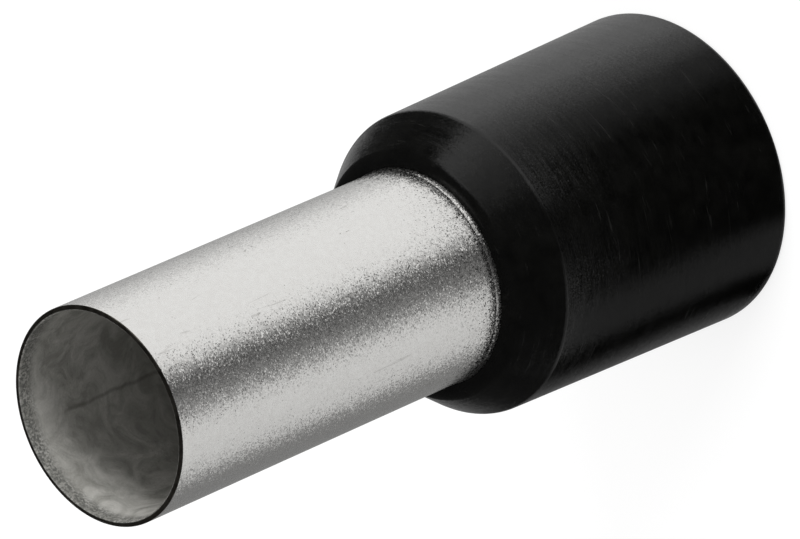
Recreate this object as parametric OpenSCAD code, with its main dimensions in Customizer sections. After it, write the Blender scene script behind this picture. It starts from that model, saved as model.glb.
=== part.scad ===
// Insulated wire ferrule: a thin tin-plated copper sleeve held in a moulded plastic collar.
// It stands on the collar's wire end. +Z runs up the axis, out of the sleeve's mouth.
// The origin is the centre of the collar's rear rim. Sizes are in millimetres.

/* [Sleeve] */
// Inside diameter of the sleeve, which takes the bare conductor
sleeve_bore_d = 7.5; // [5.8:0.1:8.4]
// Thickness of the sleeve's metal
sleeve_wall = 0.2; // [0.15:0.05:0.3]
// Length of sleeve that stands out of the collar
sleeve_exposed = 15.9; // [10:0.1:25]
// Length of sleeve that the collar's neck grips
grip_length = 2.4; // [1.5:0.1:3.5]
// Height of the step by which the sleeve swells to fill the neck
swell_height = 0.05; // [0.02:0.01:0.1]
// Length over which the swell rises, just outside the collar
swell_length = 0.2; // [0.1:0.05:0.5]
// How much the sleeve widens as it runs through the neck
grip_taper = 0.15; // [0.05:0.05:0.3]
// Length of the flare at the sleeve's wire end
flare_length = 1; // [0.6:0.1:1.5]
// How far the flare opens outwards
flare_height = 0.4; // [0.2:0.05:0.6]
// Rounding of the two edges of the sleeve's mouth
mouth_round = 0.06; // [0.02:0.01:0.07]

/* [Collar] */
// Length of the collar, from its rear rim to the face of its neck
collar_length = 13.1; // [9:0.1:18]
// Inside diameter of the collar, which takes the wire's insulation
insulation_bore_d = 10.6; // [9.8:0.1:13]
// Thickness of the collar's wall at the rear rim
rim_wall = 0.55; // [0.5:0.05:0.9]
// Angle by which the collar's outside narrows towards the shoulder
collar_draft = 1.35; // [0:0.05:2]
// Length of the shoulder, along the axis
shoulder_length = 1.65; // [1:0.05:2.4]
// Rounding where the shoulder meets the outside wall
shoulder_round = 0.3; // [0.1:0.05:0.8]
// Thickness of the neck at its face
neck_wall = 0.45; // [0.4:0.05:0.9]
// Rounding of the outer edge of the neck's face
neck_round = 0.5; // [0.1:0.05:0.6]
// Length of the funnel that leads the wire's strands into the sleeve
funnel_length = 1.6; // [0.8:0.1:3]
// Rounding of the outer edge of the rear rim
rim_round = 0.2; // [0.05:0.05:0.25]
// Lead-in chamfer on the inner edge of the rear rim
lead_in = 0.1; // [0.05:0.05:0.2]

/* [Fit] */
// Gap all round between the sleeve and the collar that grips it
seat_gap = 0.02; // [0.01:0.01:0.05]

/* [Hidden] */

// Straight steps in each rounded edge
arc_steps = 8;
// Facets round the axis in the preview
round_fn = 180;

// Heights above the rear rim
neck_z = collar_length;
mouth_z = neck_z + sleeve_exposed;
grip_z = neck_z - grip_length;
flare_z = grip_z - flare_length;
insulation_z = flare_z - funnel_length;
shoulder_z = neck_z - shoulder_length;

// Radii
bore_r = sleeve_bore_d / 2;
sleeve_r = bore_r + sleeve_wall;
seat_r = sleeve_r + swell_height + seat_gap;
neck_r = seat_r + neck_wall;
// How far the sleeve has widened at each end of its flare
flare_start = swell_height + grip_taper;
flare_end = flare_start + flare_height;
insulation_r = insulation_bore_d / 2;
rim_r = insulation_r + rim_wall;
shoulder_r = rim_r - shoulder_z * tan(collar_draft);

function unit(v) = v / norm(v);

// Points of the arc of radius r that rounds the corner b of the outline a-b-c
function rounded(a, b, c, r) =
    let (
        to_a = unit(a - b),
        to_c = unit(c - b),
        half = acos(to_a * to_c) / 2,
        centre = b + unit(to_a + to_c) * r / sin(half),
        start = b + to_a * r / tan(half) - centre,
        end = b + to_c * r / tan(half) - centre,
        start_angle = atan2(start[1], start[0]),
        turn = (atan2(end[1], end[0]) - start_angle + 540) % 360 - 180
    )
    [for (i = [0:arc_steps])
        let (angle = start_angle + turn * i / arc_steps)
        centre + r * [cos(angle), sin(angle)]];

// Sleeve: one seamless tube. Its wall keeps one thickness along the mouth, swell and flare.
module metal_sleeve() {
    mouth_in = [bore_r, mouth_z];
    mouth_out = [sleeve_r, mouth_z];
    swell_start_out = [sleeve_r, neck_z + swell_length];
    swell_start_in = [bore_r, neck_z + swell_length];
    outside = [
        swell_start_out,
        [sleeve_r + swell_height, neck_z],
        [sleeve_r + flare_start, grip_z],
        [sleeve_r + flare_end, flare_z]
    ];
    inside = [
        [bore_r + flare_end, flare_z],
        [bore_r + flare_start, grip_z],
        [bore_r + swell_height, neck_z],
        swell_start_in
    ];
    color([0.78, 0.78, 0.76])
        rotate_extrude($fn = round_fn)
            polygon(concat(
                rounded(swell_start_in, mouth_in, mouth_out, mouth_round),
                rounded(mouth_in, mouth_out, swell_start_out, mouth_round),
                outside,
                inside
            ));
}

// Collar: one moulding with a neck, a shoulder, a drafted wall and a funnel inside
module insulating_collar() {
    neck_in = [seat_r, neck_z];
    neck_out = [neck_r, neck_z];
    shoulder_edge = [shoulder_r, shoulder_z];
    rim_out = [rim_r, 0];
    rim_in = [insulation_r + lead_in, 0];
    inside = [
        rim_in,
        [insulation_r, lead_in],
        [insulation_r, insulation_z],
        [sleeve_r + flare_end + seat_gap, flare_z],
        [sleeve_r + flare_start + seat_gap, grip_z],
        neck_in
    ];
    color([0.05, 0.05, 0.05])
        rotate_extrude($fn = round_fn)
            polygon(concat(
                rounded(neck_in, neck_out, shoulder_edge, neck_round),
                rounded(neck_out, shoulder_edge, rim_out, shoulder_round),
                rounded(shoulder_edge, rim_out, rim_in, rim_round),
                inside
            ));
}

metal_sleeve();
insulating_collar();
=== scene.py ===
import math

import bpy
from mathutils import Matrix, Vector


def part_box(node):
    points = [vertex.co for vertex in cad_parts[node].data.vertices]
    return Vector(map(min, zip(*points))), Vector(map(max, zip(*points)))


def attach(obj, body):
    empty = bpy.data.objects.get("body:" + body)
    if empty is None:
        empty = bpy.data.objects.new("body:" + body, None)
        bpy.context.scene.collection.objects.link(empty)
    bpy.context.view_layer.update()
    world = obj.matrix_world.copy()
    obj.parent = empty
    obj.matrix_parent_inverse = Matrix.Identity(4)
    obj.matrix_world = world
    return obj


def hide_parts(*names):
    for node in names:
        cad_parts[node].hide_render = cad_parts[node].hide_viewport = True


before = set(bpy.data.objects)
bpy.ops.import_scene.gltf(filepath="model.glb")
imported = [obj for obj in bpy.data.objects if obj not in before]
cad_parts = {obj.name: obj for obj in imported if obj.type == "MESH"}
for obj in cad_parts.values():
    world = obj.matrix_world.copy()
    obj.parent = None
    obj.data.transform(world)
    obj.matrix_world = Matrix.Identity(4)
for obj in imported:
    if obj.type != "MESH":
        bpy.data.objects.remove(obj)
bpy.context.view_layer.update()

MM = 0.001

# --- Sizes -------------------------------------------------------------------------------------
SLEEVE_LOW, SLEEVE_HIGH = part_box("metal_sleeve")
COLLAR_LOW, COLLAR_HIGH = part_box("insulating_collar")

ROUND_STEPS = 256                      # faces round the axis
SMOOTH_ANGLE = math.radians(25)        # an edge that turns further stays sharp

MOUTH_Z = SLEEVE_HIGH.z
NECK_Z = COLLAR_HIGH.z
FLARE_Z = SLEEVE_LOW.z
RIM_Z = COLLAR_LOW.z
FLARE_R = SLEEVE_HIGH.x
RIM_R = COLLAR_HIGH.x

SLEEVE_WALL = 0.2 * MM
SLEEVE_R = 3.95 * MM
SWELL_R = 4.0 * MM
SWELL_LENGTH = 0.2 * MM
SWELL_ROUND = 0.2 * MM
SWELL_TURN = 14                        # degrees
GRIP_R = 4.15 * MM
GRIP_Z = FLARE_Z + 1.0 * MM
MOUTH_ROUND = 0.06 * MM
# The cut edge's painted shade reaches this far down the mouth's rounded edges
CUT_SHADE_DEPTH = 0.1 * MM                   # how far down the mouth's rounded edges may reach
DIE_MARK_X = 0.6 * MM

SEAT_GAP = 0.02 * MM
NECK_WALL = 0.45 * MM
NECK_ROUND = 0.5 * MM
NECK_TURN = 56                         # degrees between the neck's face and the shoulder
SHOULDER_Z = NECK_Z - 1.65 * MM
SHOULDER_R = 5.58 * MM
SHOULDER_ROUND = 0.3 * MM
SHOULDER_TURN = 32.6                   # degrees between the shoulder and the wall
RIM_ROUND = 0.2 * MM
INSULATION_R = 5.3 * MM
INSULATION_Z = 8.1 * MM
LEAD_IN = 0.1 * MM


# --- Modelling ---------------------------------------------------------------------------------
def deselect_everything():
    bpy.ops.object.select_all(action="DESELECT")


def select_rings(piece, wanted):
    """In edit mode, select the vertices whose radius and height pass the test."""
    bpy.ops.object.mode_set(mode="OBJECT")
    for vertex in piece.data.vertices:
        vertex.select = wanted(math.hypot(vertex.co.x, vertex.co.y), vertex.co.z)
    for edge in piece.data.edges:
        edge.select = all(piece.data.vertices[v].select for v in edge.vertices)
    for face in piece.data.polygons:
        face.select = all(piece.data.vertices[v].select for v in face.vertices)
    bpy.ops.object.mode_set(mode="EDIT")


def open_tube(name, radius, low, high):
    """An open tube about the Z axis, in edit mode, with its lowest ring selected."""
    deselect_everything()
    bpy.ops.mesh.primitive_cylinder_add(
        vertices=ROUND_STEPS, radius=radius, depth=high - low, end_fill_type="NOTHING",
        location=(0, 0, (low + high) / 2))
    piece = bpy.context.object
    piece.name = piece.data.name = name
    bpy.ops.object.transform_apply(location=True, rotation=True, scale=True)
    bpy.ops.object.mode_set(mode="EDIT")
    bpy.ops.mesh.select_mode(type="VERT")
    select_rings(piece, lambda r, z: abs(z - low) < 1e-7)
    return piece


def draw_ring(radius, height, from_radius, from_height):
    """Extrude the selected ring to a new radius and height."""
    bpy.ops.mesh.extrude_region_move(
        TRANSFORM_OT_translate={"value": (0, 0, height - from_height)})
    scale = radius / from_radius
    bpy.ops.transform.resize(value=(scale, scale, 1), center_override=(0, 0, height))


def draw_profile(points):
    """Extrude the selected ring through the rest of the (radius, height) points."""
    for (from_radius, from_height), (radius, height) in zip(points, points[1:]):
        draw_ring(radius, height, from_radius, from_height)


def close_and_face_outwards():
    bpy.ops.mesh.select_all(action="SELECT")
    bpy.ops.mesh.remove_doubles(threshold=1e-7)
    bpy.ops.mesh.normals_make_consistent(inside=False)


def round_edge(piece, radius, height, rounding, turn, segments):
    """Round the ring at this radius and height, where the outline turns by this many degrees."""
    near = 2e-6
    offset = rounding * math.tan(math.radians(turn) / 2)
    select_rings(piece, lambda r, z: abs(r - radius) < near and abs(z - height) < near)
    bpy.ops.mesh.bevel(offset=offset, offset_type="OFFSET", segments=segments, profile=0.5)


def finish_shading(piece):
    bpy.ops.object.mode_set(mode="OBJECT")
    deselect_everything()
    piece.select_set(True)
    bpy.context.view_layer.objects.active = piece
    bpy.ops.object.shade_smooth_by_angle(angle=SMOOTH_ANGLE)
    bpy.ops.object.modifier_add(type="WEIGHTED_NORMAL")
    piece.modifiers[-1].keep_sharp = True
    bpy.ops.object.modifier_apply(modifier=piece.modifiers[-1].name)


def make_sleeve():
    outside = [
        (SLEEVE_R, MOUTH_Z),
        (SLEEVE_R, NECK_Z + SWELL_LENGTH),
        (SWELL_R, NECK_Z),
        (GRIP_R, GRIP_Z),
        (FLARE_R, FLARE_Z),
    ]
    inside = [(r - SLEEVE_WALL, z) for r, z in reversed(outside)]
    inside[-1] = (SLEEVE_R - SLEEVE_WALL, MOUTH_Z)
    piece = open_tube("tinned_sleeve", SLEEVE_R, NECK_Z + SWELL_LENGTH, MOUTH_Z)
    draw_profile(outside[1:] + inside + outside[:1])
    close_and_face_outwards()
    round_edge(piece, SLEEVE_R, MOUTH_Z, MOUTH_ROUND, 90, 5)
    round_edge(piece, SLEEVE_R - SLEEVE_WALL, MOUTH_Z, MOUTH_ROUND, 90, 5)
    round_edge(piece, SLEEVE_R, NECK_Z + SWELL_LENGTH, SWELL_ROUND, SWELL_TURN, 4)
    finish_shading(piece)
    return piece


def make_collar():
    seat_r = SWELL_R + SEAT_GAP
    outside = [
        (seat_r, NECK_Z),
        (seat_r + NECK_WALL, NECK_Z),
        (SHOULDER_R, SHOULDER_Z),
        (RIM_R, RIM_Z),
    ]
    inside = [
        (INSULATION_R + LEAD_IN, RIM_Z),
        (INSULATION_R, RIM_Z + LEAD_IN),
        (INSULATION_R, INSULATION_Z),
        (FLARE_R + SEAT_GAP, FLARE_Z),
        (GRIP_R + SEAT_GAP, GRIP_Z),
        (seat_r, NECK_Z),
    ]
    piece = open_tube("moulded_collar", SHOULDER_R, RIM_Z, SHOULDER_Z)
    bpy.ops.transform.resize(value=(RIM_R / SHOULDER_R, RIM_R / SHOULDER_R, 1),
                             center_override=(0, 0, RIM_Z))
    draw_profile(outside[3:] + inside + outside[1:3])
    close_and_face_outwards()
    round_edge(piece, seat_r + NECK_WALL, NECK_Z, NECK_ROUND, NECK_TURN, 10)
    round_edge(piece, SHOULDER_R, SHOULDER_Z, SHOULDER_ROUND, SHOULDER_TURN, 8)
    round_edge(piece, RIM_R, RIM_Z, RIM_ROUND, 90, 8)
    finish_shading(piece)
    return piece


# --- Materials ---------------------------------------------------------------------------------
TIN_DARK, TIN_LIGHT = (0.755, 0.745, 0.725), (0.79, 0.785, 0.765)
PIT_COLOUR, SCRATCH_COLOUR = (0.22, 0.21, 0.19), (0.3, 0.29, 0.27)
BORE_DARK, BORE_LIGHT = (0.31, 0.305, 0.28), (0.53, 0.52, 0.49)
# The second colour on the next line is painted shade, laid just inside the sleeve's mouth
DIE_MARK_COLOUR, MOUTH_SHADE_COLOUR = (0.12, 0.115, 0.1), (0.14, 0.14, 0.13)
# Painted shade: the dark tones given to the cut edge and the mouth's outer rounding
CUT_SHADE_DARK, CUT_SHADE_LIGHT = (0.06, 0.055, 0.045), (0.2, 0.185, 0.16)
PLASTIC_DARK, PLASTIC_LIGHT = (0.0012, 0.0012, 0.0011), (0.003, 0.003, 0.0027)
SCUFF_COLOUR = (0.012, 0.012, 0.011)


def new_material(name):
    material = bpy.data.materials.new(name)
    material.use_nodes = True
    tree = material.node_tree
    shader = next(n for n in tree.nodes if n.type == "BSDF_PRINCIPLED")
    place = tree.nodes.new("ShaderNodeTexCoord").outputs["Object"]
    return material, tree, shader, place


def put(tree, socket, value):
    """Give a socket a fixed value, or a link from another node."""
    if isinstance(value, bpy.types.NodeSocket):
        tree.links.new(value, socket)
    else:
        socket.default_value = value


def maths(tree, operation, *values):
    node = tree.nodes.new("ShaderNodeMath")
    node.operation = operation
    for socket, value in zip(node.inputs, values):
        put(tree, socket, value)
    return node.outputs[0]


def vector_maths(tree, operation, *values):
    node = tree.nodes.new("ShaderNodeVectorMath")
    node.operation = operation
    for socket, value in zip(node.inputs, values):
        put(tree, socket, value)
    return node.outputs["Value" if operation == "LENGTH" else "Vector"]


def axes(tree, vector):
    node = tree.nodes.new("ShaderNodeSeparateXYZ")
    tree.links.new(vector, node.inputs[0])
    return node.outputs


def turn_about_axis(tree, vector):
    """Angle of a place or direction about the Z axis, from the -Y side towards +X, in radians."""
    parts = axes(tree, vector)
    return maths(tree, "ARCTAN2", parts["X"], maths(tree, "MULTIPLY", parts["Y"], -1.0))


def noise(tree, place, scale, detail, roughness=0.5, distortion=0.0):
    node = tree.nodes.new("ShaderNodeTexNoise")
    node.inputs["Scale"].default_value = scale
    node.inputs["Detail"].default_value = detail
    node.inputs["Roughness"].default_value = roughness
    node.inputs["Distortion"].default_value = distortion
    tree.links.new(place, node.inputs["Vector"])
    return node.outputs["Fac"]


def spread(tree, value, low, high, to_low, to_high):
    """Map a value from one range to another and hold it there."""
    node = tree.nodes.new("ShaderNodeMapRange")
    limits = (("From Min", low), ("From Max", high), ("To Min", to_low), ("To Max", to_high))
    for socket, number in limits:
        node.inputs[socket].default_value = number
    tree.links.new(value, node.inputs["Value"])
    return node.outputs["Result"]


def mixed(tree, factor, low_colour, high_colour):
    node = tree.nodes.new("ShaderNodeMix")
    node.data_type = "RGBA"
    for socket, colour in ((node.inputs[6], low_colour), (node.inputs[7], high_colour)):
        put(tree, socket, (*colour, 1) if isinstance(colour, tuple) else colour)
    tree.links.new(factor, node.inputs[0])
    return node.outputs[2]


def mottled(tree, pattern, low, high, dark, light):
    return mixed(tree, spread(tree, pattern, low, high, 0, 1), dark, light)


def bump(tree, shader, height, distance, over):
    """Raise the surface by a pattern, on top of the grain that is there."""
    node = tree.nodes.new("ShaderNodeBump")
    node.inputs["Distance"].default_value = distance
    node.inputs["Strength"].default_value = 1.0
    tree.links.new(height, node.inputs["Height"])
    tree.links.new(over, node.inputs["Normal"])
    tree.links.new(node.outputs["Normal"], shader.inputs["Normal"])


def stretched(tree, place, scale):
    """The place, scaled by its own amount along each axis, so that a pattern runs long one way."""
    node = tree.nodes.new("ShaderNodeMapping")
    node.inputs["Scale"].default_value = scale
    tree.links.new(place, node.inputs["Vector"])
    return node.outputs["Vector"]


def cells(tree, place, scale):
    """A random colour for each small grain of the surface."""
    node = tree.nodes.new("ShaderNodeTexVoronoi")
    node.inputs["Scale"].default_value = scale
    tree.links.new(place, node.inputs["Vector"])
    return node.outputs["Color"]


def tipped(tree, shader, grains, tilt):
    """Tip the surface from one grain to the next, as crystals do: most lean little, a few lean far."""
    centred = vector_maths(tree, "SUBTRACT", grains, (0.5, 0.5, 0.5))
    squared = vector_maths(tree, "MULTIPLY", centred, centred)
    uneven = vector_maths(tree, "MULTIPLY", squared, centred)
    normal = tree.nodes.new("ShaderNodeNewGeometry").outputs["Normal"]
    reach = 8 * tilt                   # half a unit, cubed, is an eighth
    leaning = vector_maths(tree, "MULTIPLY_ADD", uneven, (reach, reach, reach), normal)
    level = vector_maths(tree, "NORMALIZE", leaning)
    tree.links.new(level, shader.inputs["Normal"])
    return level


def one_of(tree, colour, channel):
    """One random number out of a grain's colour."""
    split = tree.nodes.new("ShaderNodeSeparateColor")
    tree.links.new(colour, split.inputs[0])
    return split.outputs[channel]


def tin_outside():
    """Satin tin plate: fine grains, some dull and some bright, with sparse pits and hairlines."""
    material, tree, shader, place = new_material("satin_tin_plate")
    shader.inputs["Metallic"].default_value = 1.0
    colour = mottled(tree, noise(tree, place, 4500, 3, 0.6), 0.35, 0.65, TIN_DARK, TIN_LIGHT)
    pits = noise(tree, stretched(tree, place, (2600, 2600, 1500)), 1, 5, 0.75, 2.5)
    pitted = mottled(tree, pits, 0.665, 0.7, colour, PIT_COLOUR)
    hairs = noise(tree, stretched(tree, place, (5200, 5200, 420)), 1, 2, 0.5, 0.8)
    scratched = mixed(tree, spread(tree, hairs, 0.7, 0.74, 0, 0.3), pitted, SCRATCH_COLOUR)
    tree.links.new(scratched, shader.inputs["Base Color"])
    dullness = spread(tree, one_of(tree, cells(tree, place, 22000), "Red"), 0, 1, 0.14, 0.34)
    tree.links.new(dullness, shader.inputs["Roughness"])
    tipped(tree, shader, cells(tree, place, 24000), 0.17)
    return material


def tin_inside():
    """Dull tin inside the sleeve, with the long mark that the drawing die left and painted shade just
    inside the mouth.
    """
    material, tree, shader, place = new_material("dull_tin_bore")
    shader.inputs["Metallic"].default_value = 0.35
    blotches = noise(tree, place, 900, 5, 0.62, 1.2)
    colour = mottled(tree, blotches, 0.36, 0.64, BORE_DARK, BORE_LIGHT)
    where = axes(tree, place)
    # The die mark is a narrow line along the bore that wanders a little
    sway = noise(tree, stretched(tree, place, (0, 0, 700)), 1, 3)
    across = maths(tree, "ADD", where["X"], spread(tree, sway, 0, 1, -0.2 * MM, 0.2 * MM))
    off_mark = maths(tree, "ABSOLUTE", maths(tree, "SUBTRACT", across, DIE_MARK_X))
    line = spread(tree, off_mark, 0.02 * MM, 0.1 * MM, 0.5, 0)
    below_mouth = spread(tree, where["Z"], MOUTH_Z - 1.4 * MM, MOUTH_Z - 2.4 * MM, 0, 1)
    colour = mixed(tree, maths(tree, "MULTIPLY", line, below_mouth), colour, DIE_MARK_COLOUR)
    # Painted shade: the top half millimetre of the bore is darkened in grainy specks
    grains = cells(tree, place, 15000)
    edge = spread(tree, where["Z"], MOUTH_Z - 0.75 * MM, MOUTH_Z - 0.35 * MM, 0, 1)
    specks = spread(tree, one_of(tree, grains, "Green"), 0.2, 0.9, 1, 0.25)
    colour = mixed(tree, maths(tree, "MULTIPLY", edge, specks), colour, MOUTH_SHADE_COLOUR)
    tree.links.new(colour, shader.inputs["Base Color"])
    dullness = spread(tree, one_of(tree, grains, "Red"), 0, 1, 0.4, 0.6)
    tree.links.new(dullness, shader.inputs["Roughness"])
    bump(tree, shader, blotches, 0.03 * MM, over=tipped(tree, shader, grains, 0.12))
    return material


def cut_edge():
    """Bare edge where the sleeve was cut off; its dark colour is painted shade."""
    material, tree, shader, place = new_material("cut_edge_painted_shade")
    shader.inputs["Metallic"].default_value = 1.0
    colour = mottled(tree, noise(tree, place, 2500, 4, 0.6), 0.3, 0.7, CUT_SHADE_DARK, CUT_SHADE_LIGHT)
    tree.links.new(colour, shader.inputs["Base Color"])
    shader.inputs["Roughness"].default_value = 0.35
    return material


def black_polypropylene():
    """Satin black plastic, with a mottled sheen and fine scuffs that run round the collar."""
    material, tree, shader, place = new_material("black_polypropylene")
    colour = mottled(tree, noise(tree, place, 1500, 4, 0.6), 0.3, 0.7, PLASTIC_DARK, PLASTIC_LIGHT)
    scuffs = noise(tree, stretched(tree, place, (520, 520, 5200)), 1, 5, 0.7, 0.6)
    scuffed = mottled(tree, scuffs, 0.62, 0.74, colour, SCUFF_COLOUR)
    tree.links.new(scuffed, shader.inputs["Base Color"])
    shader.inputs["Specular IOR Level"].default_value = 0.35
    tree.links.new(spread(tree, scuffs, 0.35, 0.7, 0.13, 0.3), shader.inputs["Roughness"])
    grain = tipped(tree, shader, cells(tree, place, 24000), 0.07)
    bump(tree, shader, scuffs, 0.006 * MM, over=grain)
    return material


def dress_sleeve(piece):
    """Outside, bore and cut edge each get their own finish."""
    for material in (tin_outside(), tin_inside(), cut_edge()):
        piece.data.materials.append(material)
    for face in piece.data.polygons:
        centre, normal = face.center, face.normal
        outward = (centre.x * normal.x + centre.y * normal.y) / math.hypot(centre.x, centre.y)
        # The cut edge's painted shade runs well over the outer rounding and hardly over the inner one
        least_upward = 0.25 if outward > 0 else 0.93
        if centre.z > MOUTH_Z - CUT_SHADE_DEPTH and normal.z > least_upward:
            face.material_index = 2
        elif outward < 0:
            face.material_index = 1


# --- Studio ------------------------------------------------------------------------------------
CAMERA_HEIGHT = math.radians(42.283)    # above the horizon, from the -Y side
CAMERA_ROLL = math.radians(-113.6)
CAMERA_DISTANCE = 324.61 * MM
CAMERA_AIM = Vector((0.467, -0.409, 14.05)) * MM
CAMERA_LENS = 419.38


def add_camera():
    back = Vector((0, -math.cos(CAMERA_HEIGHT), math.sin(CAMERA_HEIGHT)))
    level_right = Vector((1, 0, 0))
    level_up = back.cross(level_right)
    right = level_right * math.cos(CAMERA_ROLL) + level_up * math.sin(CAMERA_ROLL)
    up = back.cross(right)
    turn = Matrix((right, up, back)).transposed()
    bpy.ops.object.camera_add(location=CAMERA_AIM + back * CAMERA_DISTANCE, rotation=turn.to_euler())
    camera = bpy.context.object
    camera.name = "bench_camera"
    camera.data.lens = CAMERA_LENS
    camera.data.sensor_width = 36
    camera.data.clip_start = 0.01
    bpy.context.scene.camera = camera


def ramp(tree, factor, stops):
    node = tree.nodes.new("ShaderNodeValToRGB")
    node.color_ramp.interpolation = "EASE"
    while len(node.color_ramp.elements) < len(stops):
        node.color_ramp.elements.new(0.5)
    for element, (position, level) in zip(node.color_ramp.elements, stops):
        element.position = position
        element.color = (level, level, level, 1)
    tree.links.new(factor, node.inputs["Fac"])
    return node.outputs["Color"]


def turn_stops(levels):
    return [((angle + 180) / 360, level) for angle, level in levels]


# Brightness round the bench, by angle in degrees from the -Y side towards +X
LOW_PANELS = [(-180, 0.36), (-160, 0.24), (-112, 0.2), (-98, 0.66), (-45, 0.76), (-30, 0.25),
              (0, 0.06), (24, 0.92), (106, 0.94), (125, 0.66), (155, 0.42), (180, 0.36)]
HORIZON_PANELS = [(-180, 0.05), (-112, 0.05), (-95, 0.4), (-45, 0.4), (-25, 0.04), (6, 0.03), (30, 1.1),
                  (90, 1.1), (104, 0.05), (180, 0.05)]
RAISED_PANELS = [(-180, 0.05), (-90, 0.05), (-10, 0.02), (14, 0.05), (45, 0.5), (78, 1.2), (86, 0.03),
                 (180, 0.05)]
TOP_PANEL = (0.05, 0.05, 0.05)
# Where one panel fades into the next, by the sine of the height above the horizon
LOW_TOP = (-0.44, -0.3)
HORIZON_TOP = (-0.06, 0.04)
RAISED_TOP = (0.72, 0.84)
FILL_LIGHT = (0.8, 0.8, 0.8)            # what matt surfaces receive from all round
WHITE = (1.0, 1.0, 1.0)
# How much of the floor's brightness the flag takes away, by the angle on the collar that mirrors it
FLAG_INNER_R = 6 * MM
FLAG_SPREAD = 3.2                       # outer radius over inner radius
FLAG_RANGE = (17.5 * MM, 19 * MM)       # the flag fades out for surfaces further away than this
FLAG_COVER = [(-90, 0.3), (-74, 0.6), (-68, 1), (-59, 1), (-54, 0.75), (-40, 0.72), (-30, 1), (14, 1),
              (30, 0.72), (42, 0.25), (52, 0), (90, 0)]


def build_world():
    world = bpy.data.worlds.new("soft_studio")
    world.use_nodes = True
    bpy.context.scene.world = world
    tree = world.node_tree
    background = next(n for n in tree.nodes if n.type == "BACKGROUND")
    direction = tree.nodes.new("ShaderNodeTexCoord").outputs["Generated"]
    turn = spread(tree, turn_about_axis(tree, direction), -math.pi, math.pi, 0, 1)
    low, horizon, raised = (ramp(tree, turn, turn_stops(levels))
                            for levels in (LOW_PANELS, HORIZON_PANELS, RAISED_PANELS))
    height = axes(tree, direction)["Z"]
    lower_half = mottled(tree, height, *LOW_TOP, low, horizon)
    walls = mottled(tree, height, *HORIZON_TOP, lower_half, raised)
    panels = mottled(tree, height, *RAISED_TOP, walls, TOP_PANEL)
    rays = tree.nodes.new("ShaderNodeLightPath")
    seen = mixed(tree, rays.outputs["Is Glossy Ray"], FILL_LIGHT, panels)
    shown = mixed(tree, rays.outputs["Is Camera Ray"], seen, WHITE)
    tree.links.new(shown, background.inputs["Color"])


def add_floor():
    deselect_everything()
    bpy.ops.mesh.primitive_plane_add(size=4, location=(0, 0, 0))
    floor = bpy.context.object
    floor.name = "pale_floor"
    material, tree, shader, place = new_material("pale_bench_paper")
    fibres = noise(tree, place, 900, 4)
    rays = tree.nodes.new("ShaderNodeLightPath")
    paper = mixed(tree, fibres, (0.79, 0.79, 0.79), (0.81, 0.81, 0.81))
    colour = mixed(tree, rays.outputs["Is Camera Ray"], paper, (0.36, 0.36, 0.36))
    tree.links.new(colour, shader.inputs["Base Color"])
    shader.inputs["Roughness"].default_value = 0.9
    shader.inputs["Specular IOR Level"].default_value = 0.0
    shader.inputs["Emission Color"].default_value = (1, 1, 1, 1)
    lift = maths(tree, "MULTIPLY", rays.outputs["Is Camera Ray"], 0.73)
    tree.links.new(lift, shader.inputs["Emission Strength"])
    floor.data.materials.append(material)
    floor.visible_glossy = False


def add_strip_light():
    """A soft strip lamp that faces the ferrule and shines into the sleeve's mouth."""
    angle, height = math.radians(50), math.radians(15)
    distance, width, depth, brightness = 0.5, 0.4, 0.14, 15
    target = Vector((0, 0, 12 * MM))
    away = Vector((math.sin(angle) * math.cos(height), -math.cos(angle) * math.cos(height),
                   math.sin(height)))
    bpy.ops.object.light_add(type="AREA", location=target + away * distance,
                             rotation=away.to_track_quat("Z", "Y").to_euler())
    lamp = bpy.context.object
    lamp.name = "strip_softbox"
    lamp.data.shape = "RECTANGLE"
    lamp.data.size = width
    lamp.data.size_y = depth
    lamp.data.energy = brightness * math.pi * width * depth
    lamp.visible_camera = lamp.visible_glossy = False


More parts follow.
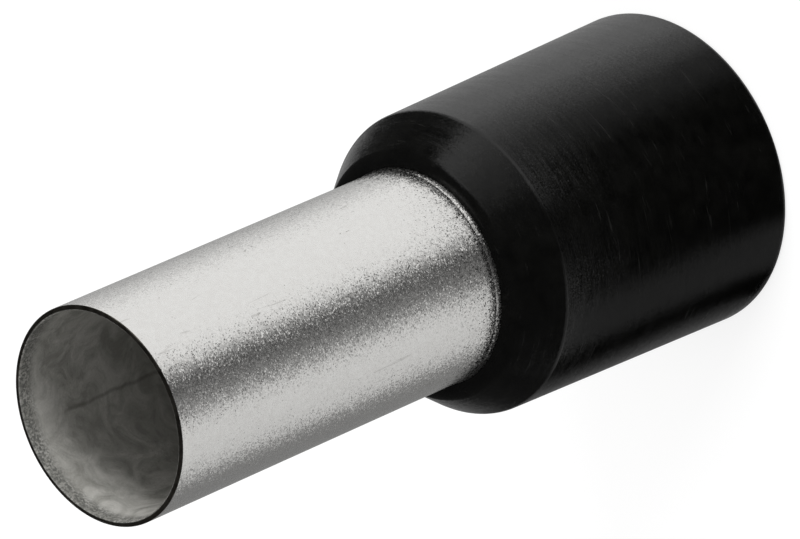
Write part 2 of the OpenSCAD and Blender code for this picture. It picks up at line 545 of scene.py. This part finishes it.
def add_black_flag():
    """A soft-edged dark card laid round the collar's foot, which only reflections see."""
    deselect_everything()
    bpy.ops.mesh.primitive_circle_add(vertices=96, radius=FLAG_INNER_R, location=(0, 0, 0))
    flag = bpy.context.object
    flag.name = "black_flag"
    bpy.ops.object.mode_set(mode="EDIT")
    bpy.ops.mesh.select_all(action="SELECT")
    bpy.ops.mesh.extrude_region_move(TRANSFORM_OT_translate={"value": (0, 0, 0.01 * MM)})
    bpy.ops.transform.resize(value=(FLAG_SPREAD, FLAG_SPREAD, 1))
    bpy.ops.object.mode_set(mode="OBJECT")
    material, tree, shader, place = new_material("black_flock")
    output = next(n for n in tree.nodes if n.type == "OUTPUT_MATERIAL")
    # A spot at angle a and radius r is mirrored by the collar's wall of radius R at about a r / (2 r - R)
    reach = vector_maths(tree, "LENGTH", place)
    share = maths(tree, "DIVIDE", reach, maths(tree, "MULTIPLY_ADD", reach, 2.0, -RIM_R))
    mirrored = maths(tree, "MULTIPLY", turn_about_axis(tree, place), share)
    cover = ramp(tree, spread(tree, mirrored, -math.pi / 2, math.pi / 2, 0, 1),
                 [((angle + 90) / 180, level) for angle, level in FLAG_COVER])
    shader.inputs["Base Color"].default_value = (0, 0, 0, 1)
    shader.inputs["Specular IOR Level"].default_value = 0
    clear = tree.nodes.new("ShaderNodeBsdfTransparent")
    cut = tree.nodes.new("ShaderNodeMixShader")
    near = tree.nodes.new("ShaderNodeLightPath").outputs["Ray Length"]
    fading = maths(tree, "MULTIPLY", cover, spread(tree, near, *FLAG_RANGE, 1, 0))
    tree.links.new(fading, cut.inputs[0])
    tree.links.new(clear.outputs[0], cut.inputs[1])
    tree.links.new(shader.outputs[0], cut.inputs[2])
    tree.links.new(cut.outputs[0], output.inputs["Surface"])
    flag.data.materials.append(material)
    for ray in ("camera", "diffuse", "transmission", "shadow", "volume_scatter"):
        setattr(flag, "visible_" + ray, False)


add_camera()
build_world()
add_floor()
add_black_flag()
add_strip_light()

sleeve = make_sleeve()
dress_sleeve(sleeve)
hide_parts("metal_sleeve")
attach(sleeve, "root")

collar = make_collar()
collar.data.materials.append(black_polypropylene())
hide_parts("insulating_collar")
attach(collar, "root")

bpy.context.scene.view_settings.view_transform = "Standard"
